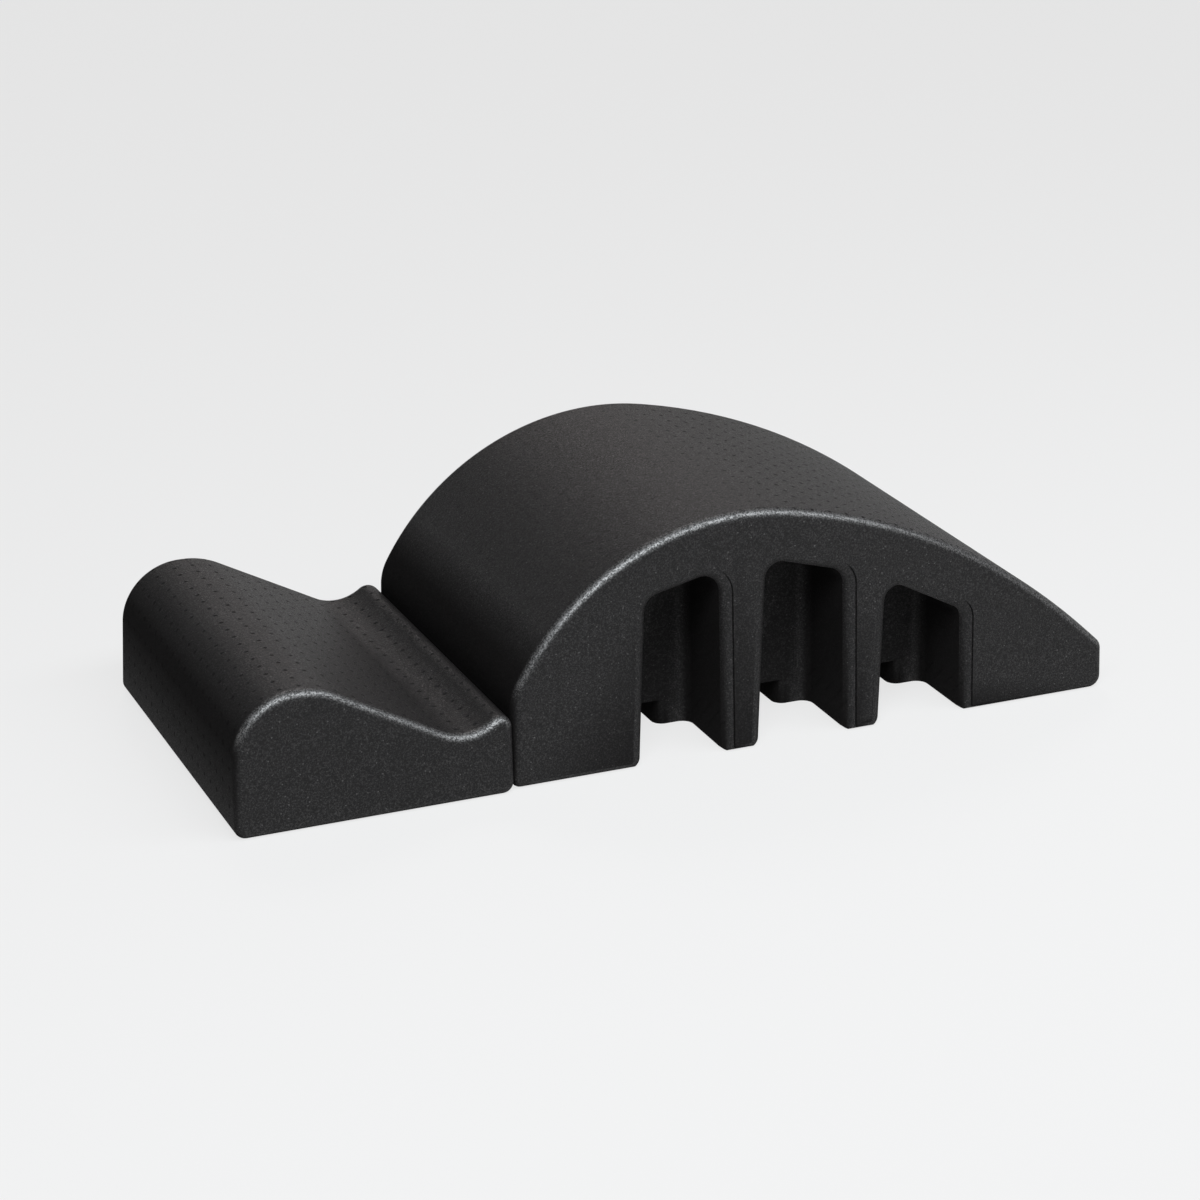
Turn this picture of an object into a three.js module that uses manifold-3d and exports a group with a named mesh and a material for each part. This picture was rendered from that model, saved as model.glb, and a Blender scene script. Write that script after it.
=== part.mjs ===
// Two-piece spine corrector of moulded bead foam: a low step block and a tall arc block, side by side.
// Millimetres. X runs along the length from the step end to the tapered end, Y across, Z up from the floor.
import * as THREE from "three";
import Module from "manifold-3d";

const wasm = await Module();
wasm.setup();

// whole object
const overallLength = 1000;
const blockGap = 0.3;
const bottomEdgeRadius = 8;
const topEdgeRadius = 11;
const edgeBlendLow = 35;
const edgeBlendHigh = 75;

// step block
const stepLength = 298;
const stepWidth = 422;
const stepSideDraft = 2;
const stepCrestHeight = 148.1;
const stepShoulderRadius = 66;
const stepCrestFlat = 4.2;
const stepBrowRadius = 82.7;
const stepSlopeAngle = 28.2;
const valleyHeight = 72.5;
const valleyRadius = 48.5;
const lipRadius = 14.3;
const stepFootRadius = 12;
const stepEndRake = 1.5;

// arc block; its crest and hollows lie at shares of the length that the step block leaves over
const arcWidth = 407;
const arcSideDraft = 1;
const arcCrestHeight = 265.2;
const arcStartHeight = 99.5;
const arcStartBlendRadius = 60;
const crestReachShare = 0.37167;
const toeHeight = 51.4;
const toeRadius = 12;
const toeRake = 1.9;
const arcFootRadius = 10;
const toeFootRadius = 14;

// shape of the top behind the crest: three arcs in a row, radii as shares of the last and flattest one
const crestRadiusShare = 0.32517;
const backRadiusShare = 0.79007;
const crestEndAngle = 10.5;
const backEndAngle = 34.8;
const tailEndAngle = 44.5;

// hollows moulded into both long sides of the arc block, with the foam left above each upper corner
const headStartShare = 0.20721;
const headWidthShare = 0.13524;
const headLeftRoof = 56.6;
const headRightRoof = 60.4;
const headLeftRadius = 18;
const headRightRadius = 20.5;
const middleStartShare = 0.40288;
const middleWidthShare = 0.14493;
const middleLeftRoof = 56.4;
const middleRightRoof = 61.2;
const middleLeftRadius = 17;
const middleRightRadius = 20;
const tailStartShare = 0.60681;
const tailWidthShare = 0.14294;
const tailLeftRoof = 64.6;
const tailRightRoof = 67.3;
const tailLeftRadius = 15;
const tailRightRadius = 15;
const hollowDraft = 1.45;
const hollowDepth = 96;
const hollowLipRadius = 12;
const hollowFloorRadius = 14;
const mouthFootRadius = 6;
const innerFootRadius = 3.5;
const mouthFootDepth = 18;

// slot under each core wall, joining the hollow on one side to the one on the other
const slotWidth = 24;
const slotHeight = 28.5;
const slotSetback = 37.2;
const slotEdgeRadius = 12;

// cutters run this far past the faces they open; the tangent steps keep cuts clear of flat faces
const cutMargin = 6;
const tangentStep = 15;
const fullTurn = 360;

// facets along a right angle, and along the long top curves
const roundFacets = 5;
const headFacets = 22;
const crestFacets = 4;
const backFacets = 10;
const tailFacets = 5;
const valleyFacets = 12;

const foamColour = 0x2b2a2b;
const foamRoughness = 0.62;

const radians = THREE.MathUtils.degToRad;
const quarter = radians(fullTurn / 4);

// points of an arc round a centre; angles in radians, counted from +X towards +Z
function arcPoints(centreX, centreZ, radius, from, to, facets) {
  const points = [];
  for (let i = 0; i <= facets; i += 1) {
    const angle = from + ((to - from) * i) / facets;
    points.push([centreX + radius * Math.cos(angle), centreZ + radius * Math.sin(angle)]);
  }
  return points;
}

// drops points that repeat the one before them
function cleaned(points) {
  const apart = 1e-3;
  return points.filter((point, i) => {
    const before = points[(i + points.length - 1) % points.length];
    return Math.hypot(point[0] - before[0], point[1] - before[1]) > apart;
  });
}

// outward unit normal at each point of an outline that runs anticlockwise seen with X right and Z up
function normals(points) {
  return points.map((point, i) => {
    const before = points[(i + points.length - 1) % points.length];
    const after = points[(i + 1) % points.length];
    const first = new THREE.Vector2(point[1] - before[1], before[0] - point[0]).normalize();
    const second = new THREE.Vector2(after[1] - point[1], point[0] - after[0]).normalize();
    const sum = first.clone().add(second);
    const share = 2 / sum.lengthSq();
    return sum.multiplyScalar(share);
  });
}

// closed solid from rings of equal point count, ordered along +Y, each ring a list of [x, y, z]
function ringSolid(rings) {
  const count = rings[0].length;
  const vertices = rings.flat(2);
  const triangles = [];
  for (let r = 0; r + 1 < rings.length; r += 1) {
    for (let i = 0; i < count; i += 1) {
      const a = r * count + i;
      const b = r * count + ((i + 1) % count);
      triangles.push(a, a + count, b, b, a + count, b + count);
    }
  }
  const lastStart = (rings.length - 1) * count;
  const flatten = (ring) => ring.map((point) => new THREE.Vector2(point[0], point[2]));
  for (const [a, b, c] of THREE.ShapeUtils.triangulateShape(flatten(rings[0]), [])) {
    triangles.push(a, b, c);
  }
  for (const [a, b, c] of THREE.ShapeUtils.triangulateShape(flatten(rings.at(-1)), [])) {
    triangles.push(lastStart + a, lastStart + c, lastStart + b);
  }
  const mesh = new wasm.Mesh({
    numProp: 3,
    vertProperties: new Float32Array(vertices),
    triVerts: new Uint32Array(triangles),
  });
  return new wasm.Manifold(mesh);
}

// radius of the rounded side edges: small round the foot, larger along the top
function edgeRadius(z) {
  const share = THREE.MathUtils.smoothstep(z, edgeBlendLow, edgeBlendHigh);
  return THREE.MathUtils.lerp(bottomEdgeRadius, topEdgeRadius, share);
}

// block with the given side outline, drafted long sides and rounded edges all round them
function roundedBlock(outline, width, draftAngle) {
  const outward = normals(outline);
  const draft = Math.tan(radians(draftAngle));
  const halfRing = (side, angle) =>
    outline.map((point, i) => {
      const radius = edgeRadius(point[1]);
      const inset = radius * (1 - Math.sin(angle));
      const x = point[0] - outward[i].x * inset;
      const z = point[1] - outward[i].y * inset;
      const face = width / 2 - draft * z;
      return [x, side * (face - radius * (1 - Math.cos(angle))), z];
    });
  const rings = [];
  for (let k = 0; k <= roundFacets; k += 1) {
    rings.push(halfRing(-1, (quarter * k) / roundFacets));
  }
  for (let k = roundFacets; k >= 0; k -= 1) {
    rings.push(halfRing(1, (quarter * k) / roundFacets));
  }
  return ringSolid(rings);
}

// side outline of the step block, from its foot at the mating face round to its rounded end
function stepOutline() {
  const slope = radians(stepSlopeAngle);
  const rake = radians(stepEndRake);
  const upright = 2 * quarter - rake;
  const foot = stepFootRadius;
  const shoulderZ = stepCrestHeight - stepShoulderRadius;
  const shoulderReach = stepShoulderRadius - foot + (shoulderZ - foot) * Math.sin(rake);
  const shoulderX = foot + shoulderReach / Math.cos(rake);
  const browX = shoulderX + stepCrestFlat;
  const browZ = stepCrestHeight - stepBrowRadius;
  const valleyZ = valleyHeight + valleyRadius;
  const drop = (browZ - valleyZ) * Math.cos(slope) + stepBrowRadius + valleyRadius;
  const valleyX = browX + drop / Math.sin(slope);
  const lipX = stepLength - lipRadius;
  const across = lipX - valleyX;
  const reach = valleyRadius + lipRadius;
  const lipZ = valleyZ - Math.sqrt(reach * reach - across * across);
  const meet = Math.atan2(lipZ - valleyZ, across);
  return cleaned([
    ...arcPoints(stepLength - foot, foot, foot, -quarter, 0, roundFacets),
    ...arcPoints(lipX, lipZ, lipRadius, 0, meet + 2 * quarter, roundFacets + 2),
    ...arcPoints(valleyX, valleyZ, valleyRadius, meet, -quarter - slope, valleyFacets),
    ...arcPoints(browX, browZ, stepBrowRadius, quarter - slope, quarter, roundFacets + 2),
    ...arcPoints(shoulderX, shoulderZ, stepShoulderRadius, quarter, upright, valleyFacets),
    ...arcPoints(foot, foot, foot, upright, 3 * quarter, roundFacets),
  ]);
}

// rounds the corner between two directions; the radius is met by a tangent arc
function cornerPoints(corner, before, after, radius) {
  const from = new THREE.Vector2(before[0] - corner[0], before[1] - corner[1]).normalize();
  const to = new THREE.Vector2(after[0] - corner[0], after[1] - corner[1]).normalize();
  const half = Math.acos(from.dot(to)) / 2;
  const middle = from.clone().add(to).normalize();
  const centreX = corner[0] + (middle.x * radius) / Math.sin(half);
  const centreZ = corner[1] + (middle.y * radius) / Math.sin(half);
  const aim = Math.atan2(-middle.y, -middle.x);
  const turn = quarter - half;
  return arcPoints(centreX, centreZ, radius, aim - turn, aim + turn, roundFacets);
}

// top line from the toe's corner up to the crest, made of the three arcs and fitted to that run and drop
function backLine(crestX, corner) {
  const line = [[0, 0]];
  const addArc = (radius, from, to, facets) => {
    const [run, drop] = line.at(-1);
    for (let i = 1; i <= facets; i += 1) {
      const angle = radians(from + ((to - from) * i) / facets);
      const along = radius * (Math.sin(angle) - Math.sin(radians(from)));
      const down = radius * (Math.cos(radians(from)) - Math.cos(angle));
      line.push([run + along, drop + down]);
    }
  };
  addArc(crestRadiusShare, 0, crestEndAngle, crestFacets);
  addArc(backRadiusShare, crestEndAngle, backEndAngle, backFacets);
  addArc(1, backEndAngle, tailEndAngle, tailFacets);
  const [run, drop] = line.at(-1);
  const runScale = (corner[0] - crestX) / run;
  const dropScale = (arcCrestHeight - corner[1]) / drop;
  return line.map(([x, z]) => [crestX + x * runScale, arcCrestHeight - z * dropScale]).reverse();
}

// top line from the crest down to the arc block's mating face
function headLine(startX, crestX) {
  const reach = crestX - startX;
  const rise = arcCrestHeight - arcStartHeight;
  const radius = (reach * reach + rise * rise) / (2 * rise);
  const centreZ = arcCrestHeight - radius;
  const blendX = startX + arcStartBlendRadius;
  const blendReach = radius - arcStartBlendRadius;
  const blendZ = centreZ + Math.sqrt(blendReach * blendReach - (crestX - blendX) * (crestX - blendX));
  const blendEnd = Math.atan2(blendZ - centreZ, blendX - crestX);
  return [
    ...arcPoints(crestX, centreZ, radius, quarter, blendEnd, headFacets),
    ...arcPoints(blendX, blendZ, arcStartBlendRadius, blendEnd, 2 * quarter, roundFacets),
  ];
}

// top line of the arc block from its toe's corner to its mating face
function topLine(startX) {
  const crestX = startX + (overallLength - startX) * crestReachShare;
  const rake = radians(toeRake);
  const foot = toeFootRadius;
  const lean = (foot - (toeHeight - foot) * Math.sin(rake)) / Math.cos(rake);
  const corner = [overallLength - foot + lean, toeHeight];
  return [...backLine(crestX, corner), ...headLine(startX, crestX)];
}

// height of that line over one place along the length
function topHeight(line, x) {
  const i = line.findIndex((point) => point[0] <= x);
  const share = (x - line[i][0]) / (line[i - 1][0] - line[i][0]);
  return THREE.MathUtils.lerp(line[i][1], line[i - 1][1], share);
}

// side outline of the arc block, from its toe round over the top to its mating face
function arcOutline(startX) {
  const rake = radians(toeRake);
  const toeFoot = toeFootRadius;
  const footX = overallLength - toeFoot;
  const toe = arcPoints(footX, toeFoot, toeFoot, -quarter, rake, roundFacets);
  const [corner, ...top] = topLine(startX);
  const foot = arcFootRadius;
  return cleaned([
    ...toe,
    ...cornerPoints(corner, toe.at(-1), top[0], toeRadius),
    ...top,
    ...arcPoints(startX + foot, foot, foot, 2 * quarter, 3 * quarter, roundFacets),
  ]);
}

// the three hollows of one long side, measured from the arc block's mating face
function hollowsOf(startX) {
  const line = topLine(startX);
  const arcLength = overallLength - startX;
  const hollow = (startShare, widthShare, leftRoof, rightRoof, leftRadius, rightRadius) => {
    const start = arcLength * startShare;
    const width = arcLength * widthShare;
    const leftHeight = topHeight(line, startX + start) - leftRoof;
    const rightHeight = topHeight(line, startX + start + width) - rightRoof;
    return { start, width, leftHeight, rightHeight, leftRadius, rightRadius };
  };
  return [
    hollow(headStartShare, headWidthShare, headLeftRoof, headRightRoof, headLeftRadius, headRightRadius),
    hollow(
      middleStartShare,
      middleWidthShare,
      middleLeftRoof,
      middleRightRoof,
      middleLeftRadius,
      middleRightRadius,
    ),
    hollow(tailStartShare, tailWidthShare, tailLeftRoof, tailRightRoof, tailLeftRadius, tailRightRadius),
  ];
}

// side outline of one hollow, grown outwards by an offset; its foot flares out over the floor
function hollowOutline(hollow, startX, offset, footRadius) {
  const draft = Math.tan(radians(hollowDraft));
  const left = startX + hollow.start - offset;
  const right = startX + hollow.start + hollow.width + offset;
  const leftX = (z) => left + draft * z;
  const rightX = (z) => right - draft * z;
  const tilt = (hollow.rightHeight - hollow.leftHeight) / hollow.width;
  const lift = offset * (Math.hypot(tilt, 1) - tilt);
  const fall = offset * (Math.hypot(tilt, 1) + tilt);
  const leftTop = hollow.leftHeight + lift;
  const rightTop = hollow.rightHeight + fall;
  const topLeft = [leftX(leftTop), leftTop];
  const topRight = [rightX(rightTop), rightTop];
  const clear = radians(tangentStep);
  const flareLeft = left - footRadius;
  const flareRight = right + footRadius;
  const leftFoot = arcPoints(flareLeft, footRadius, footRadius, clear - quarter, 0, roundFacets - 2);
  const rightFoot = arcPoints(flareRight, footRadius, footRadius, -2 * quarter, -quarter - clear, roundFacets - 2);
  return [
    [rightFoot.at(-1)[0], -cutMargin],
    ...rightFoot.reverse(),
    ...cornerPoints(topRight, [right, 0], topLeft, hollow.rightRadius + offset),
    ...cornerPoints(topLeft, topRight, [left, 0], hollow.leftRadius + offset),
    ...leftFoot.reverse(),
    [leftFoot.at(-1)[0], -cutMargin],
  ];
}

// solid that cuts one hollow out of the side at -Y: flared lip, straight walls, rounded floor
function hollowCutter(hollow, startX) {
  const draft = Math.tan(radians(arcSideDraft));
  const faceAt = (z) => draft * z - arcWidth / 2;
  const floorY = hollowDepth - arcWidth / 2;
  const ring = (offset, footRadius, yAt) =>
    hollowOutline(hollow, startX, offset, footRadius).map(([x, z]) => [x, yAt(z), z]);
  const clear = radians(tangentStep);
  const lipOffset = (angle) => hollowLipRadius * (1 - Math.sin(angle));
  const widest = lipOffset(clear);
  const rings = [ring(widest, mouthFootRadius, (z) => faceAt(z) - cutMargin)];
  for (let k = 0; k <= roundFacets; k += 1) {
    const angle = clear + ((quarter - clear) * k) / roundFacets;
    const depth = hollowLipRadius * (1 - Math.cos(angle));
    rings.push(ring(lipOffset(angle), mouthFootRadius, (z) => faceAt(z) + depth));
  }
  rings.push(ring(0, innerFootRadius, (z) => faceAt(z) + mouthFootDepth));
  for (let k = 0; k <= roundFacets; k += 1) {
    const angle = (quarter * k) / roundFacets;
    const inset = hollowFloorRadius * (1 - Math.cos(angle));
    const y = floorY - hollowFloorRadius * (1 - Math.sin(angle));
    rings.push(ring(-inset, innerFootRadius, () => y));
  }
  return ringSolid(rings);
}

// solid that cuts the slot through the core wall behind one hollow, with rounded upright edges
function slotCutter(hollow, startX) {
  const right = startX + hollow.start + hollow.width - slotSetback;
  const left = right - slotWidth;
  const mouthY = arcWidth / 2 - hollowDepth;
  const clear = radians(tangentStep);
  const ring = (offset, y) => [
    [right + offset, y, -cutMargin],
    [right + offset, y, slotHeight],
    [left - offset, y, slotHeight],
    [left - offset, y, -cutMargin],
  ];
  const half = [ring(slotEdgeRadius * (1 - Math.sin(clear)), mouthY + cutMargin)];
  for (let k = 0; k <= roundFacets; k += 1) {
    const angle = clear + ((quarter - clear) * k) / roundFacets;
    const offset = slotEdgeRadius * (1 - Math.sin(angle));
    half.push(ring(offset, mouthY - slotEdgeRadius * (1 - Math.cos(angle))));
  }
  const mirrored = half.map((points) => points.map(([x, y, z]) => [x, -y, z]));
  return ringSolid([...mirrored, ...half.reverse()]);
}

function namedMesh(name, solid) {
  const result = solid.getMesh();
  const geometry = new THREE.BufferGeometry();
  geometry.setAttribute("position", new THREE.BufferAttribute(new Float32Array(result.vertProperties), 3));
  geometry.setIndex(new THREE.BufferAttribute(new Uint32Array(result.triVerts), 1));
  geometry.computeVertexNormals();
  const colour = new THREE.MeshStandardMaterial({ color: foamColour, roughness: foamRoughness, metalness: 0 });
  const mesh = new THREE.Mesh(geometry, colour);
  mesh.name = name;
  return mesh;
}

function buildStepBlock() {
  const solid = roundedBlock(stepOutline(), stepWidth, stepSideDraft);
  return namedMesh("step_block", solid.translate([-overallLength / 2, 0, 0]));
}

function buildArcBlock() {
  const startX = stepLength + blockGap;
  let solid = roundedBlock(arcOutline(startX), arcWidth, arcSideDraft);
  for (const hollow of hollowsOf(startX)) {
    const cutter = hollowCutter(hollow, startX);
    solid = solid.subtract(cutter);
    solid = solid.subtract(cutter.mirror([0, 1, 0]));
    solid = solid.subtract(slotCutter(hollow, startX));
  }
  return namedMesh("arc_block", solid.translate([-overallLength / 2, 0, 0]));
}

const part = new THREE.Group();
part.name = "spine_corrector";
part.add(buildStepBlock(), buildArcBlock());
export default part;
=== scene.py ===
# A two-piece spine corrector of moulded bead foam: a low step block and a tall arc block.
# Metres; X runs along the length from the step end, Y across, Z up from the floor.
import bpy, bmesh, math
from mathutils import Matrix, Vector


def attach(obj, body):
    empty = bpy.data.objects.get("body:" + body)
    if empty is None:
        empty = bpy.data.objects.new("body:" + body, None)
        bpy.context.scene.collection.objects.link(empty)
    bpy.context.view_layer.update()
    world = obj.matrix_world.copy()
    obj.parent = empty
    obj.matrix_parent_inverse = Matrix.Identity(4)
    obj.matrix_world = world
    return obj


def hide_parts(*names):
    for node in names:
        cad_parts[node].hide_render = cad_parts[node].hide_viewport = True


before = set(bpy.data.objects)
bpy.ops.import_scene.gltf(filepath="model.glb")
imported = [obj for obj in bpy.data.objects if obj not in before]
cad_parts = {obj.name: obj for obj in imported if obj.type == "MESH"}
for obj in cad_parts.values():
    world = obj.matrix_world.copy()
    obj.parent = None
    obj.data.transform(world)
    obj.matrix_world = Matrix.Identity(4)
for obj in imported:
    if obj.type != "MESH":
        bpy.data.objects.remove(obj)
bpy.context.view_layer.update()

# Camera
# It stands to the left in front of the blocks and looks down on them with a long lens. Its place was
# fitted to the straight edges of the blocks. Angles are in degrees.
lens_length, film_width = 95.749, 36
camera_place = (-1.30842, -2.96890, 1.37589)
turned_right, looking_down, rolled = 23.501, 21.379, 0.2405

camera_data = bpy.data.cameras.new("camera")
camera_data.lens = lens_length
camera_data.sensor_width = film_width
camera = bpy.data.objects.new("camera", camera_data)
bpy.context.collection.objects.link(camera)
bpy.context.scene.camera = camera
pan = Matrix.Rotation(math.radians(-turned_right), 4, "Z")
tilt = Matrix.Rotation(math.radians(90 - looking_down), 4, "X")
roll = Matrix.Rotation(math.radians(rolled), 4, "Z")
camera.matrix_world = Matrix.Translation(camera_place) @ pan @ tilt @ roll

# Step block
# The low block that carries hips or feet: a rounded shoulder, a slope down to a shallow trough and a
# small lip by the arc block. It is steam-moulded in one shot from small charcoal plastic beads, with
# every edge rounded and no side open.

# Radii of the rounds along the outline, then the block's lengths and heights. Side leans are in degrees.
foot, lip, trough, brow, shoulder = 0.012, 0.0143, 0.0485, 0.0827, 0.066
step_length, step_width, step_side_lean = 0.298, 0.422, 2
crest, crest_flat, trough_height = 0.1481, 0.0042, 0.0725
slope, end_lean = math.radians(28.2), math.radians(1.5)
round_steps = {"foot": 7, "lip": 18, "trough": 22, "brow": 12, "shoulder": 30}

# The skin is hard and closed, with a fine leathery grain, a few raised beads, and a grid of round pits
# where the mould lets steam in. Its colour also paints shade into the creases and pits, and glints on the
# beads.
# Noises are in repeats a metre, pits in metres, tones in linear colour.
grain_scale, grit_scale, bead_scale, cloud_scale = 600, 1300, 125, 9
pit_middle, pit_rim, pit_fade = 0.0010, 0.0031, 0.003
# The foam's own charcoal lies between these tones; the dark end also paints shade into creases and pits,
# the pale end light on the pads and glints on the beads.
dark_and_crease_shade_tone, pad_and_glint_tone = (0.0030, 0.0028, 0.0029, 1), (0.0270, 0.0252, 0.0255, 1)
# The dark matt tone of the painted shade in the hollows and slots, on the steep ends and under the feet.
painted_shade_tone = (0.0085, 0.0078, 0.0077, 1)
skin_ior, polish_ior, polish_roughness = 1.29, 2.4, 0.46


class Value:
    """A socket that takes part in Python sums; each sum adds a Math node."""

    def __init__(self, nodes, socket):
        self.nodes, self.socket = nodes, socket

    def sum(self, operation, *others):
        return self.nodes.add("ShaderNodeMath", {"operation": operation}, {
            i: other for i, other in enumerate(others)})

    def __add__(self, other):
        return self.sum("ADD", self, other)

    def __radd__(self, other):
        return self.sum("ADD", other, self)

    def __sub__(self, other):
        return self.sum("SUBTRACT", self, other)

    def __rsub__(self, other):
        return self.sum("SUBTRACT", other, self)

    def __mul__(self, other):
        return self.sum("MULTIPLY", self, other)

    def __rmul__(self, other):
        return self.sum("MULTIPLY", other, self)

    def __truediv__(self, other):
        return self.sum("DIVIDE", self, other)

    def part(self):
        return self.sum("FRACT", self)

    def size(self):
        return self.sum("ABSOLUTE", self)

    def power(self, other):
        return self.sum("POWER", self, other)

    def at_most(self, other):
        return self.sum("MINIMUM", self, other)

    def beside(self, output):
        """Another output of the node that this value comes from."""
        return Value(self.nodes, self.socket.node.outputs[output])

    def rise(self, low, high):
        """0 below low, 1 above high, smooth between them."""
        return self.nodes.add("ShaderNodeMapRange", {"interpolation_type": "SMOOTHSTEP", "clamp": True}, {
            "Value": self, "From Min": low, "From Max": high})


class Finish:
    """The node tree of a material or of the world."""

    def __init__(self, owner):
        owner.use_nodes = True
        self.tree = owner.node_tree
        self.tree.nodes.clear()

    def add(self, kind, settings=None, inputs=None, output=0):
        node = self.tree.nodes.new(kind)
        for key, value in (settings or {}).items():
            setattr(node, key, value)
        for key, value in (inputs or {}).items():
            socket = node.inputs[key]
            if isinstance(value, Value):
                self.tree.links.new(value.socket, socket)
            else:
                socket.default_value = value
        return Value(self, node.outputs[output]) if len(node.outputs) else None


def bead_foam(name, pitch, first, run, faint):
    """Charcoal bead foam; vent pits lie on a grid over one run of the outline, faint over part of it."""
    material = bpy.data.materials.new(name)
    foam = Finish(material)
    place = foam.add("ShaderNodeTexCoord", output="Object")
    along = foam.add("ShaderNodeSeparateXYZ", inputs={
        0: foam.add("ShaderNodeUVMap", {"uv_map": "outline"})})
    across = along.beside(1)

    # leathery grain of the mould cut by fine creases, grit, sparse raised beads, slow changes of density
    leather = foam.add("ShaderNodeTexNoise", inputs={
        "Vector": place, "Scale": grain_scale, "Detail": 2, "Roughness": 0.7, "Distortion": 0.6})
    crease = 1 - (leather - 0.46).size().rise(0, 0.06)
    fine = foam.add("ShaderNodeTexNoise", inputs={
        "Vector": place, "Scale": grit_scale, "Detail": 0, "Roughness": 0.6})
    bead = 1 - foam.add("ShaderNodeTexVoronoi", {"feature": "F1"}, {
        "Vector": place, "Scale": bead_scale, "Randomness": 1}).rise(0.04, 0.13)
    cloud = foam.add("ShaderNodeTexNoise", inputs={
        "Vector": place, "Scale": cloud_scale, "Detail": 3, "Roughness": 0.55})

    # one shallow round pit in the middle of each cell of the grid
    pit_x = ((along - first[0]) / pitch[0] + 0.5).part() * pitch[0] - 0.5 * pitch[0]
    pit_y = ((across - first[1]) / pitch[1] + 0.5).part() * pitch[1] - 0.5 * pitch[1]
    from_pit = (pit_x * pit_x + pit_y * pit_y).power(0.5)
    pit = (1 - from_pit.rise(pit_middle, pit_rim)) * along.rise(run[0], run[0] + pit_fade)
    pit = pit * (1 - along.rise(run[1] - pit_fade, run[1])) * (1 - 0.8 * along.rise(*faint))

    # painted shade makes the creases and pits nearly black; the pads of the grain are paler, partly their
    # own tone and partly painted light on the raised grain; the beads are palest, a painted glint
    pad = leather.rise(0.44, 0.74)
    tone_and_painted_shade = (0.7 + 0.6 * cloud) * (0.34 + 0.9 * pad) * (1 - 0.6 * crease) * (1 - 0.65 * pit)
    colour = foam.add("ShaderNodeMix", {"data_type": "RGBA"}, {
        0: (tone_and_painted_shade * 0.75 + bead * 0.9).at_most(1),
        6: dark_and_crease_shade_tone, 7: pad_and_glint_tone}, output=2)
    worn = foam.add("ShaderNodeAttribute", {"attribute_name": "edge"}, output=2)
    # the painted shade: where shade falls the skin takes a dark matt layer, turns rougher and loses its
    # polish
    painted_shade = foam.add("ShaderNodeAttribute", {"attribute_name": "painted_shade"}, output=2) * (1 - worn)
    roughness = 0.50 - 0.08 * pad + 0.10 * crease + 0.08 * (fine - 0.5) + 0.35 * painted_shade + 0.25 * pit

    # the pads are pressed smooth along the rounded upper edges
    polish = worn * (0.15 + leather.rise(0.38, 0.60)) * (1 - 0.5 * crease)
    polish = (polish + 0.13 * pad + 0.4 * bead) * (1 - painted_shade) * (1 - pit)

    # height in millimetres
    height = 0.75 * leather - 0.12 * crease + 0.08 * fine + 0.20 * bead - 1.2 * pit
    bump = foam.add("ShaderNodeBump", inputs={"Height": height, "Strength": 1, "Distance": 0.001})
    shader = foam.add("ShaderNodeBsdfPrincipled", inputs={
        "Base Color": colour, "Roughness": roughness, "Normal": bump, "IOR": skin_ior,
        "Coat Weight": polish.at_most(1), "Coat Roughness": polish_roughness, "Coat IOR": polish_ior})
    # the dark matt layer that paints the shade, mixed in by the painted shade mark
    painted_shade_layer = foam.add("ShaderNodeBsdfDiffuse", inputs={"Color": painted_shade_tone, "Normal": bump})
    shader = foam.add("ShaderNodeMixShader", inputs={0: painted_shade * 0.8, 1: shader, 2: painted_shade_layer})
    foam.add("ShaderNodeOutputMaterial", inputs={"Surface": shader})
    return material


# The long edges are rounder above a height than at the foot. Smooth shading ends at this angle, in degrees.
left_end, below_floor, same_point, nudge = -0.5, 0.012, 1e-5, 0.001
foot_round, extra_round, rounder_from, rounder_over, smooth_below = 0.008, 0.003, 0.035, 0.040, 40

# A face is skin when it lies this near the outline, and a side when it faces across by more than this
# share. On the flat map, sides and what lies inside are shifted away from the skin.
skin_reach, side_facing, side_shift, inside_shift = 0.012, 0.75, -2, -4

# The painted shade, a dark matt layer where shade falls, comes on, and eases again, over one run of the
# outline;
# the easing starts after another. It leaves the flat sides out and takes in what faces down. Past the first
# depth lies a hollow, with painted shade on its walls and less on its floor, and past the second a slot.
painted_shade_over, painted_shade_until = 0.05, 0.07
painted_shade_side, painted_shade_side_over, painted_shade_under, painted_shade_under_over = 0.95, 0.35, 0.05, 0.30
hollow_from, slot_from, wall_painted_shade, floor_less = 0.011, 0.099, 0.9, 0.65

# An edge is polished between the flat side and the top, where it faces up.
polish_side, polish_side_over, polish_from, polish_over = 0.96, 0.14, 0.10, 0.30


def limit(share):
    """Keeps a share between 0 and 1."""
    return min(max(share, 0), 1)


def pen(name, x, z):
    """Starts a side outline as a single point on the middle plane."""
    bpy.ops.object.select_all(action="DESELECT")
    bpy.ops.mesh.primitive_plane_add(size=0.01, location=(x, 0, z))
    block = bpy.context.active_object
    block.name = block.data.name = name
    bpy.ops.object.transform_apply(location=True, rotation=False, scale=False)
    bpy.ops.object.mode_set(mode="EDIT")
    bpy.ops.mesh.select_all(action="SELECT")
    bpy.ops.mesh.merge(type="CENTER")
    return block


def pen_point():
    """Where the outline has come to."""
    cage = bmesh.from_edit_mesh(bpy.context.object.data)
    return next(v for v in cage.verts if v.select).co


def line_to(x, z):
    """Carries the outline straight on to a point, unless it is there."""
    step = Vector((x, 0, z)) - pen_point()
    if step.length > same_point:
        bpy.ops.mesh.extrude_region_move(TRANSFORM_OT_translate={"value": step})


def arc_round(x, z, degrees, steps):
    """Carries the outline round a centre, anticlockwise as seen from the near side."""
    bpy.ops.mesh.spin(steps=steps, angle=math.radians(degrees), center=(x, 0, z), axis=(0, 1, 0))


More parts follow.
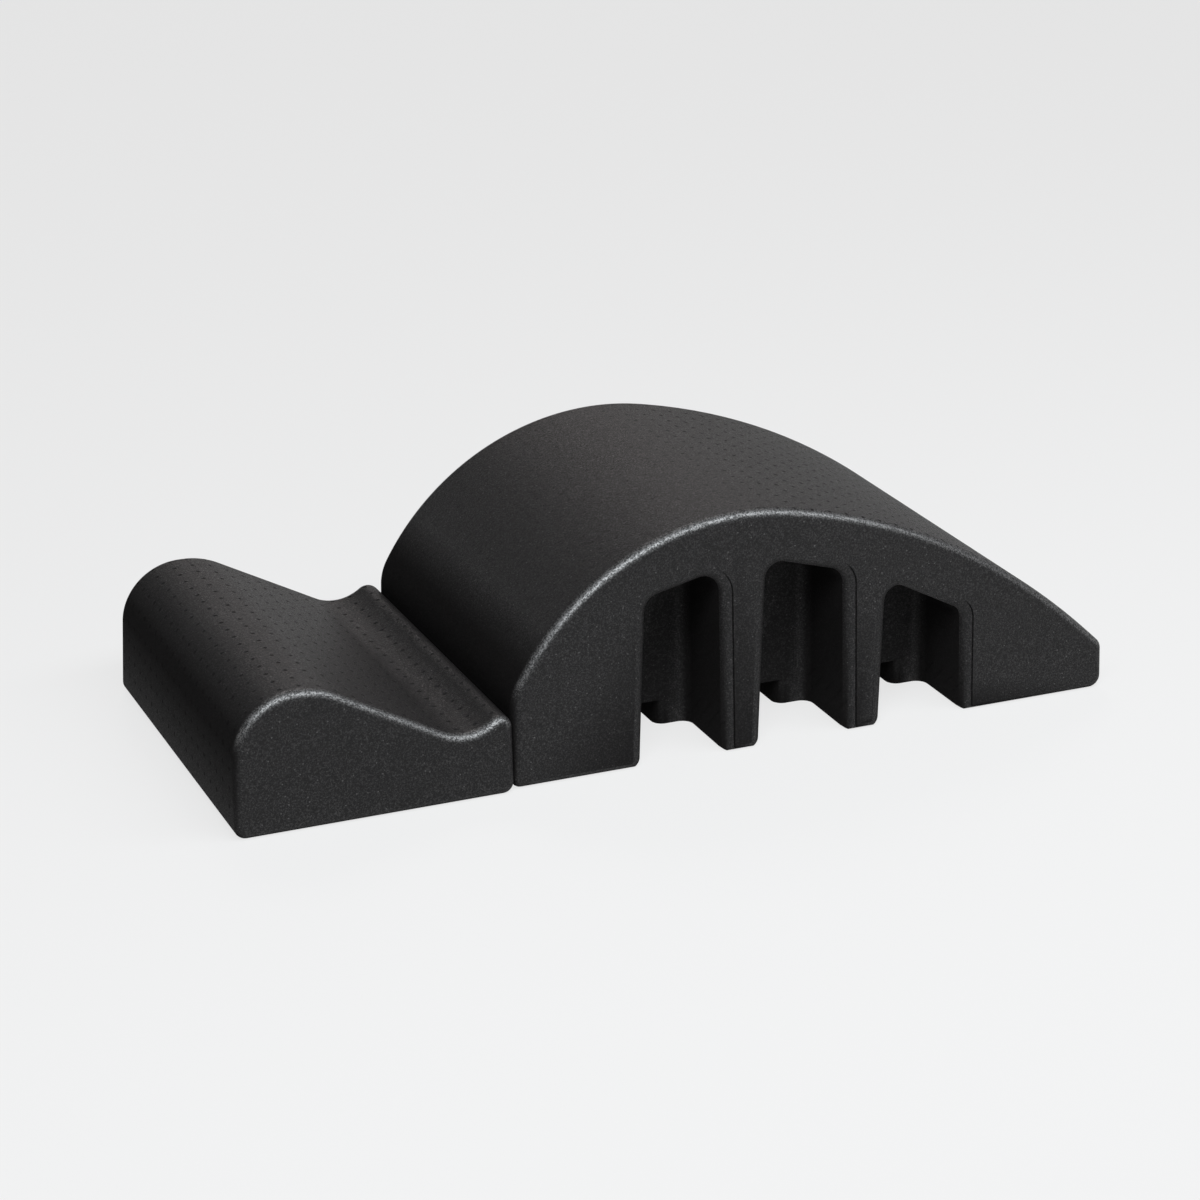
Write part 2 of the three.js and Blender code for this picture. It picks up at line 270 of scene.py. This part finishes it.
def close_outline():
    """Fills the outline with one face towards the near side, and gives its points in order."""
    bpy.ops.mesh.select_all(action="SELECT")
    bpy.ops.mesh.remove_doubles(threshold=same_point)
    bpy.ops.mesh.edge_face_add()
    cage = bmesh.from_edit_mesh(bpy.context.object.data)
    face = max(cage.faces, key=lambda f: len(f.verts))
    if face.normal.y > 0:
        bpy.ops.mesh.flip_normals()
        face = max(cage.faces, key=lambda f: len(f.verts))
    return [Vector((v.co.x, v.co.z)) for v in face.verts]


def outward(outline):
    """Outward mitre at each point of an outline that runs anticlockwise seen from the near side."""
    mitres = []
    for i, point in enumerate(outline):
        before, after = point - outline[i - 1], outline[(i + 1) % len(outline)] - point
        first = Vector((before.y, -before.x)).normalized()
        second = Vector((after.y, -after.x)).normalized()
        both = first + second
        mitres.append(both * (2 / both.length_squared))
    return mitres


def edge_radius(z):
    """The long edges are rounder along the top than round the foot."""
    share = limit((z - rounder_from) / rounder_over)
    return foot_round + extra_round * share * share * (3 - 2 * share)


def thicken(outline, width, lean, rounds=9):
    """Extrudes the outline across the block ring by ring, with rounded edges and leaning sides."""
    mitres = outward(outline)
    turns = [90 * k / rounds for k in range(rounds + 1)]
    rings = [(-1, t) for t in turns] + [(1, t) for t in reversed(turns)]
    for number, (side, turn) in enumerate(rings):
        if number:
            bpy.ops.mesh.extrude_region_move(TRANSFORM_OT_translate={"value": (0, nudge, 0)})
        cage = bmesh.from_edit_mesh(bpy.context.object.data)
        cap = next(f for f in cage.faces if f.select and len(f.verts) == len(outline))
        angle = math.radians(turn)
        for vertex, point, mitre in zip(cap.verts, outline, mitres):
            radius = edge_radius(point.y)
            inset = radius * (1 - math.sin(angle))
            face = width / 2 - math.tan(math.radians(lean)) * point.y
            y = side * (face - radius * (1 - math.cos(angle)))
            vertex.co = (point.x - mitre.x * inset, y, point.y - mitre.y * inset)
    bpy.ops.mesh.select_all(action="SELECT")
    bpy.ops.mesh.normals_make_consistent(inside=False)
    bpy.ops.object.mode_set(mode="OBJECT")


def run_along(outline, x, z):
    """How far along the outline the nearest place to a point lies, in metres."""
    best, total = (math.inf, 0), 0
    point = Vector((x, z))
    for i, start in enumerate(outline):
        span = outline[(i + 1) % len(outline)] - start
        share = limit((point - start).dot(span) / span.length_squared)
        gap = (point - start - span * share).length
        if gap < best[0]:
            best = (gap, total + span.length * share)
        total += span.length
    return best


def lay_out(block, outline):
    """Gives the skin a flat map: along the outline and across.

    Returns for each vertex how far off the outline it is, and how far along."""
    sheet = block.data.uv_layers.new(name="outline")
    known = {}
    for polygon in block.data.polygons:
        for loop in polygon.loop_indices:
            vertex = block.data.loops[loop].vertex_index
            co = block.data.vertices[vertex].co
            if vertex not in known:
                known[vertex] = run_along(outline, co.x, co.z)
            gap, run = known[vertex]
            if abs(polygon.normal.y) > side_facing:
                sheet.data[loop].uv = (side_shift + co.x, co.z)
            elif gap < skin_reach:
                sheet.data[loop].uv = (run, co.y)
            else:
                sheet.data[loop].uv = (inside_shift + co.x, co.y + co.z)
    return known


def mark_painted_shade(block, known, painted_shade_from, ease, width, lean):
    """Marks the painted shade, a dull dark finish where shade falls: its steep end, its feet, and all that
    lies in the hollows.
    """
    mark = block.data.attributes.new("painted_shade", "FLOAT", "POINT")
    for vertex, value in zip(block.data.vertices, mark.data):
        gap, run = known[vertex.index]
        depth = width / 2 - math.tan(math.radians(lean)) * vertex.co.z - abs(vertex.co.y)
        if gap < skin_reach:
            off_side = limit((painted_shade_side - abs(vertex.normal.y)) / painted_shade_side_over)
            easing = ease * limit((run - painted_shade_from - painted_shade_until) / painted_shade_over)
            steep = limit((run - painted_shade_from) / painted_shade_over) - easing
            under = limit((-vertex.normal.z - painted_shade_under) / painted_shade_under_over)
            value.value = off_side * max(steep, under)
        elif depth > slot_from:
            value.value = 1
        elif depth > hollow_from:
            value.value = wall_painted_shade - floor_less * abs(vertex.normal.y)


def mark_edges(block):
    """Marks the rounded long edges where they face up."""
    mark = block.data.attributes.new("edge", "FLOAT", "POINT")
    for vertex, value in zip(block.data.vertices, mark.data):
        side, up = abs(vertex.normal.y), vertex.normal.z
        shares = [(polish_side - side) / polish_side_over, (side - polish_from) / polish_over,
                  (up - polish_from) / polish_over]
        value.value = math.prod(limit(share) for share in shares)


def finish_skin(block, body, node, material):
    """Smooths the skin, gives it its foam and puts it in the place of the plain solid."""
    bpy.ops.object.select_all(action="DESELECT")
    block.select_set(True)
    bpy.context.view_layer.objects.active = block
    bpy.ops.object.shade_smooth_by_angle(angle=math.radians(smooth_below))
    weigh = block.modifiers.new("weigh", "WEIGHTED_NORMAL")
    weigh.keep_sharp = True
    weigh.weight = 100
    bpy.ops.object.modifier_apply(modifier=weigh.name)
    block.data.materials.clear()
    block.data.materials.append(material)
    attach(block, body)
    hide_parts(node)


shoulder_z, brow_z, trough_z = crest - shoulder, crest - brow, trough_height + trough
shoulder_reach = (shoulder - foot + (shoulder_z - foot) * math.sin(end_lean)) / math.cos(end_lean)
shoulder_x = left_end + foot + shoulder_reach
brow_x = shoulder_x + crest_flat
trough_x = brow_x + ((brow_z - trough_z) * math.cos(slope) + brow + trough) / math.sin(slope)
right_x = left_end + step_length
lip_x = right_x - lip
lip_z = trough_z - math.sqrt((trough + lip) ** 2 - (lip_x - trough_x) ** 2)
meet = math.degrees(math.atan2(lip_z - trough_z, lip_x - trough_x))

step_block = pen("step_block_skin", left_end + foot, 0)
line_to(right_x - foot, 0)
arc_round(right_x - foot, foot, 90, round_steps["foot"])
line_to(right_x, lip_z)
arc_round(lip_x, lip_z, 180 + meet, round_steps["lip"])
arc_round(trough_x, trough_z, -90 - math.degrees(slope) - meet, round_steps["trough"])
line_to(brow_x + brow * math.sin(slope), brow_z + brow * math.cos(slope))
arc_round(brow_x, brow_z, math.degrees(slope), round_steps["brow"])
line_to(shoulder_x, crest)
arc_round(shoulder_x, shoulder_z, 90 - math.degrees(end_lean), round_steps["shoulder"])
line_to(left_end + foot - foot * math.cos(end_lean), foot + foot * math.sin(end_lean))
arc_round(left_end + foot, foot, 90 + math.degrees(end_lean), round_steps["foot"])
step_outline = close_outline()
thicken(step_outline, step_width, step_side_lean)
step_runs = lay_out(step_block, step_outline)
mark_painted_shade(step_block, step_runs, painted_shade_from=0.355, ease=0.5, width=step_width, lean=step_side_lean)
mark_edges(step_block)
step_foam = bead_foam("step_bead_foam", pitch=(0.02035, 0.0214), first=(0.0148, 0.0023),
                      run=(0.080, 0.505), faint=(0.60, 0.70))
finish_skin(step_block, "step", "step_block", step_foam)

# Arc block
# The tall block that carries the back: a steep round head, a long tail and a blunt toe. It is one moulding
# of the same foam. Three hollows in each long side lighten it and give a grip, and a slot at the floor
# joins each pair.
arc_start, arc_end, arc_width, arc_side_lean = -0.2017, 0.5, 0.407, 1
arc_crest, crest_share, start_height, start_blend = 0.2652, 0.37167, 0.0995, 0.060
arc_foot, toe_foot, toe_round, toe_lean, toe_height = 0.010, 0.014, 0.012, math.radians(1.9), 0.0514
arc_steps = {"foot": 7, "toe_foot": 8, "toe": 8, "tail": 12, "back": 24, "brow": 8, "head": 52, "blend": 10}
arc_length = arc_end - arc_start
crest_x = arc_start + arc_length * crest_share
rise, reach = arc_crest - start_height, crest_x - arc_start
head = (reach * reach + rise * rise) / (2 * rise)
head_z = arc_crest - head
blend_x = arc_start + start_blend
blend_z = head_z + math.sqrt((head - start_blend) ** 2 - (crest_x - blend_x) ** 2)
blend_turn = math.degrees(math.atan2(blend_z - head_z, blend_x - crest_x))
toe_x = arc_end - toe_foot
corner_x = toe_x + (toe_foot - (toe_height - toe_foot) * math.sin(toe_lean)) / math.cos(toe_lean)

# The tail falls from the crest in three arcs, each flatter: its radius as a share of the last one's, and
# the slopes in degrees that it starts and ends with.
first_slope, second_slope, last_slope = 10.5, 34.8, 44.5
arcs = [(0.32517, 0, first_slope), (0.79007, first_slope, second_slope), (1, second_slope, last_slope)]
tail_run = sum(r * (math.sin(math.radians(b)) - math.sin(math.radians(a))) for r, a, b in arcs)
tail_radius = (corner_x - crest_x) / tail_run
centres, centre = [], Vector((crest_x, arc_crest))
for share, start, end in arcs:
    radius = share * tail_radius
    toward = Vector((math.sin(math.radians(start)), math.cos(math.radians(start))))
    centre = (centres[-1][0] + toward * (centres[-1][1] - radius)) if centres else centre - toward * radius
    centres.append((centre, radius))
tail_centre, tail_radius = centres[-1]

arc_block = pen("arc_block_skin", arc_start + arc_foot, 0)
line_to(toe_x, 0)
arc_round(toe_x, toe_foot, 90 + math.degrees(toe_lean), arc_steps["toe_foot"])
face_reach = (toe_x - tail_centre.x) * math.cos(toe_lean) + (toe_foot - tail_centre.y) * math.sin(toe_lean)
toe_turn = toe_lean + math.acos((face_reach + toe_foot - toe_round) / (tail_radius - toe_round))
toe_round_x = tail_centre.x + (tail_radius - toe_round) * math.cos(toe_turn)
toe_round_z = tail_centre.y + (tail_radius - toe_round) * math.sin(toe_turn)
line_to(toe_round_x + toe_round * math.cos(toe_lean), toe_round_z + toe_round * math.sin(toe_lean))
arc_round(toe_round_x, toe_round_z, math.degrees(toe_turn - toe_lean), arc_steps["toe"])
arc_round(tail_centre.x, tail_centre.y, 90 - second_slope - math.degrees(toe_turn), arc_steps["tail"])
arc_round(centres[1][0].x, centres[1][0].y, second_slope - first_slope, arc_steps["back"])
arc_round(centres[0][0].x, centres[0][0].y, first_slope, arc_steps["brow"])
arc_round(crest_x, head_z, blend_turn - 90, arc_steps["head"])
arc_round(blend_x, blend_z, 180 - blend_turn, arc_steps["blend"])
line_to(arc_start, arc_foot)
arc_round(arc_start + arc_foot, arc_foot, 90, arc_steps["foot"])
arc_outline = close_outline()
thicken(arc_outline, arc_width, arc_side_lean)

# The hollows have drafted walls, rounded corners, a soft lip and a rounded floor. Where the insert of
# the mould met its face, towards the toe, a thin witness line is left in the foam round each mouth.
arc_lean, hollow_lean = math.tan(math.radians(arc_side_lean)), math.tan(math.radians(1.45))
hollow_depth, lip_radius, floor_radius, outside = 0.096, 0.012, 0.014, 0.006
mouth_feet, inner_feet, foot_depth = (0.0095, 0.005), (0.0035, 0.0035), 0.018
witness_step, witness_width, witness_depth, witness_trace, toe_facing = 0.0009, 0.0015, 0.0012, 0.05, 0.45
slot_from_right, slot_width, slot_height, slot_round = 0.0372, 0.024, 0.0285, 0.012
flare, slot_first_turn = 82, 4
lip_steps, floor_steps, flare_steps, corner_steps = 10, 8, 6, 12

# Start from the head's end, width, height at the left and right wall, radius of the left and right corner.
hollows = [
    (0.1454, 0.0949, 0.1845, 0.2041, 0.018, 0.0205),
    (0.2827, 0.1017, 0.2080, 0.1821, 0.017, 0.020),
    (0.4258, 0.1003, 0.1650, 0.1165, 0.015, 0.015),
]


def turned(centre, radius, start, end, steps):
    """Points of an arc, angles in degrees from +X towards +Z."""
    angles = [math.radians(start + (end - start) * k / steps) for k in range(steps + 1)]
    return [centre + radius * Vector((math.cos(a), math.sin(a))) for a in angles]


def rounded_corner(corner, before, after, radius, steps):
    """Points that round a corner between the places before and after it."""
    toward_before, toward_after = (before - corner).normalized(), (after - corner).normalized()
    half = math.acos(toward_before.dot(toward_after)) / 2
    middle = (toward_before + toward_after).normalized()
    aim, turn = math.degrees(math.atan2(-middle.y, -middle.x)), 90 - math.degrees(half)
    return turned(corner + middle * (radius / math.sin(half)), radius, aim - turn, aim + turn, steps)


def mouth(hollow, grow, feet):
    """Outline of a hollow, grown outwards all round; its left and right feet flare out over the floor."""
    start, width, left_height, right_height, left_radius, right_radius = hollow
    left, right = arc_start + start - grow, arc_start + start + width + grow
    tilt = (right_height - left_height) / width
    left_top = left_height + grow * (math.hypot(tilt, 1) - tilt)
    right_top = right_height + grow * (math.hypot(tilt, 1) + tilt)
    top_left = Vector((left + hollow_lean * left_top, left_top))
    top_right = Vector((right - hollow_lean * right_top, right_top))
    foot_left = turned(Vector((left - feet[0], feet[0])), feet[0], -flare, 0, flare_steps)
    foot_right = turned(Vector((right + feet[1], feet[1])), feet[1], 180, 180 + flare, flare_steps)
    right_foot, left_foot = Vector((right, 0)), Vector((left, 0))
    right_corner = rounded_corner(top_right, right_foot, top_left, right_radius + grow, corner_steps)
    left_corner = rounded_corner(top_left, top_right, left_foot, left_radius + grow, corner_steps)
    below = Vector((0, -below_floor))
    return ([Vector((foot_right[-1].x, 0)) + below] + foot_right[::-1] + right_corner + left_corner
            + foot_left[::-1] + [Vector((foot_left[0].x, 0)) + below])


def loft(name, rings):
    """A closed cutter: a disc whose rim is pushed through one ring after another."""
    bpy.ops.object.select_all(action="DESELECT")
    bpy.ops.mesh.primitive_circle_add(vertices=len(rings[0]), radius=0.1, fill_type="NGON")
    cutter = bpy.context.active_object
    cutter.name = name
    bpy.ops.object.mode_set(mode="EDIT")
    bpy.ops.mesh.select_all(action="SELECT")
    for number, ring in enumerate(rings):
        if number:
            bpy.ops.mesh.extrude_region_move(TRANSFORM_OT_translate={"value": (0, 0, nudge)})
        cage = bmesh.from_edit_mesh(cutter.data)
        cap = next(f for f in cage.faces if f.select and len(f.verts) == len(ring))
        for vertex, place in zip(cap.verts, ring):
            vertex.co = place
    bpy.ops.mesh.select_all(action="SELECT")
    bpy.ops.mesh.normals_make_consistent(inside=False)
    bpy.ops.object.mode_set(mode="OBJECT")
    return cutter


def cut(block, cutter):
    """Takes a cutter's shape out of the block and throws the cutter away."""
    bpy.ops.object.select_all(action="DESELECT")
    bpy.context.view_layer.objects.active = block
    block.select_set(True)
    knife = block.modifiers.new("cut", "BOOLEAN")
    knife.operation, knife.solver, knife.object = "DIFFERENCE", "EXACT", cutter
    bpy.ops.object.modifier_apply(modifier=knife.name)
    bpy.data.objects.remove(cutter)


def toward_toe(points):
    """1 where an outline faces the toe, falling to a trace where it faces up or the other way."""
    shares = [limit((mitre.normalized().x - toe_facing) / toe_facing) for mitre in outward(points)]
    return [witness_trace + (1 - witness_trace) * share * share * (3 - 2 * share) for share in shares]


def hollow_cutter(hollow, side):
    """Comes in from outside over the lip, down the drafted walls and round to the floor of the hollow."""
    def ring(grow, feet, depth, witness=0, follow=1):
        points = mouth(hollow, grow, feet)
        return [(p.x, side * (arc_width / 2 - follow * arc_lean * p.y - depth - witness * share), p.y)
                for p, share in zip(points, toward_toe(points))]

    fillet = lip_radius - witness_width
    rings = [ring(lip_radius, mouth_feet, -outside),
             ring(lip_radius, mouth_feet, 0, witness_step + witness_depth),
             ring(fillet, mouth_feet, 0, witness_step)]
    for k in range(1, lip_steps + 1):
        turn = math.radians(90 * k / lip_steps)
        rings.append(ring(fillet * (1 - math.sin(turn)), mouth_feet,
                          fillet * (1 - math.cos(turn)), witness_step))
    rings.append(ring(0, inner_feet, foot_depth))
    for k in range(floor_steps + 1):
        turn = math.radians(90 * k / floor_steps)
        depth = hollow_depth - floor_radius * (1 - math.sin(turn))
        rings.append(ring(-floor_radius * (1 - math.cos(turn)), inner_feet, depth, follow=0))
    return loft("hollow_cutter", rings)


def slot_cutter(hollow):
    """A plain slot through the wall between two hollows, its upright edges rounded."""
    right = arc_start + hollow[0] + hollow[1] - slot_from_right
    left = right - slot_width
    half = []
    for k in range(lip_steps + 1):
        turn = math.radians(slot_first_turn + (90 - slot_first_turn) * k / lip_steps)
        half.append((slot_round * (1 - math.sin(turn)),
                     arc_width / 2 - hollow_depth - slot_round * (1 - math.cos(turn))))
    half = [(half[0][0], half[0][1] + outside)] + half
    across = [(grow, y) for grow, y in half] + [(grow, -y) for grow, y in reversed(half)]
    return loft("slot_cutter", [
        [(right + grow, y, -below_floor), (right + grow, y, slot_height),
         (left - grow, y, slot_height), (left - grow, y, -below_floor)] for grow, y in across])


for hollow in hollows:
    for side in (-1, 1):
        cut(arc_block, hollow_cutter(hollow, side))
    cut(arc_block, slot_cutter(hollow))

arc_runs = lay_out(arc_block, arc_outline)
mark_painted_shade(arc_block, arc_runs, painted_shade_from=0.80, ease=0, width=arc_width, lean=arc_side_lean)
mark_edges(arc_block)
arc_foam = bead_foam("arc_bead_foam", pitch=(0.0209, 0.0209), first=(0.0086, -0.0022),
                     run=(0.060, 0.975), faint=(0.45, 0.58))
finish_skin(arc_block, "arc", "arc_block", arc_foam)

# Studio
# A pale floor that keeps the soft shadow of the blocks, a long softbox overhead and large lamps far away.
# Floor and world show as one pale background, in reflections too, under a dark ceiling.
paper_tone, glow_tone, glow_share = (0.82, 0.82, 0.82, 1), (0.863, 0.863, 0.863, 1), 0.84
horizon_tone, ceiling_tone = (0.785, 0.785, 0.785, 1), (0.12, 0.12, 0.12, 1)
ceiling_from, sky_strength, floor_size = 0.22, 0.05, 60


def seen_share(nodes):
    """1 for the rays that show the background: from the camera, off a gloss or through glass."""
    camera_ray = nodes.add("ShaderNodeLightPath", output="Is Camera Ray")
    seen = camera_ray + camera_ray.beside("Is Glossy Ray")
    return (seen + camera_ray.beside("Is Transmission Ray")).at_most(1)


bpy.ops.object.select_all(action="DESELECT")
bpy.ops.mesh.primitive_plane_add(size=floor_size)
floor = bpy.context.active_object
floor.name = "floor"
pale = bpy.data.materials.new("pale_floor")
paper = Finish(pale)
paper_skin = paper.add("ShaderNodeBsdfDiffuse", inputs={"Color": paper_tone})
glow = paper.add("ShaderNodeEmission", inputs={"Color": glow_tone, "Strength": 1})
mixed = paper.add("ShaderNodeMixShader", inputs={0: seen_share(paper) * glow_share, 1: paper_skin, 2: glow})
paper.add("ShaderNodeOutputMaterial", inputs={"Surface": mixed})
floor.data.materials.append(pale)

world = bpy.data.worlds.new("studio")
bpy.context.scene.world = world
sky = Finish(world)
upward = sky.add("ShaderNodeSeparateXYZ", inputs={
    0: sky.add("ShaderNodeTexCoord", output="Generated")}, output=2)
backdrop = sky.add("ShaderNodeMix", {"data_type": "RGBA"}, {
    0: upward.rise(0.0, ceiling_from), 6: horizon_tone, 7: ceiling_tone}, output=2)
shown = sky.add("ShaderNodeBackground", inputs={"Color": backdrop, "Strength": 1})
lit = sky.add("ShaderNodeBackground", inputs={"Color": (1, 1, 1, 1), "Strength": sky_strength})
mixed = sky.add("ShaderNodeMixShader", inputs={0: seen_share(sky), 1: lit, 2: shown})
sky.add("ShaderNodeOutputWorld", inputs={"Surface": mixed})


def softbox(name, place, aim, width, height, watts, colour):
    """A lamp with a broad flat front that faces the place it aims at."""
    lamp = bpy.data.lights.new(name, "AREA")
    lamp.shape, lamp.size, lamp.size_y, lamp.energy, lamp.color = "RECTANGLE", width, height, watts, colour
    box = bpy.data.objects.new(name, lamp)
    bpy.context.collection.objects.link(box)
    box.location = place
    box.rotation_euler = (Vector(aim) - Vector(place)).to_track_quat("-Z", "Y").to_euler()


def far_light(name, azimuth, elevation, spread, strength, colour):
    """A large lamp far away: angles in degrees, azimuth from +X towards +Y."""
    lamp = bpy.data.lights.new(name, "SUN")
    lamp.angle, lamp.energy, lamp.color = math.radians(spread), strength, colour
    sun = bpy.data.objects.new(name, lamp)
    bpy.context.collection.objects.link(sun)
    sun.rotation_euler = (0, math.radians(90 - elevation), math.radians(azimuth))


cool = (0.93, 0.97, 1)
softbox("strip", place=(0.17, -1.25, 2.0), aim=(-0.07, -0.11, 0.1),
        width=4.4, height=0.65, watts=74, colour=cool)
far_light("left_key", azimuth=240, elevation=42, spread=24, strength=0.8, colour=cool)
far_light("front_fill", azimuth=276, elevation=14, spread=24, strength=0.24, colour=cool)
far_light("right_fill", azimuth=325, elevation=26, spread=24, strength=0.06, colour=(1, 0.97, 0.95))
far_light("back_high", azimuth=76, elevation=44, spread=20, strength=0.46, colour=(1, 0.93, 0.91))
far_light("back_low", azimuth=66, elevation=20, spread=24, strength=0.17, colour=(1, 0.92, 0.90))

bpy.context.scene.view_settings.view_transform = "Standard"
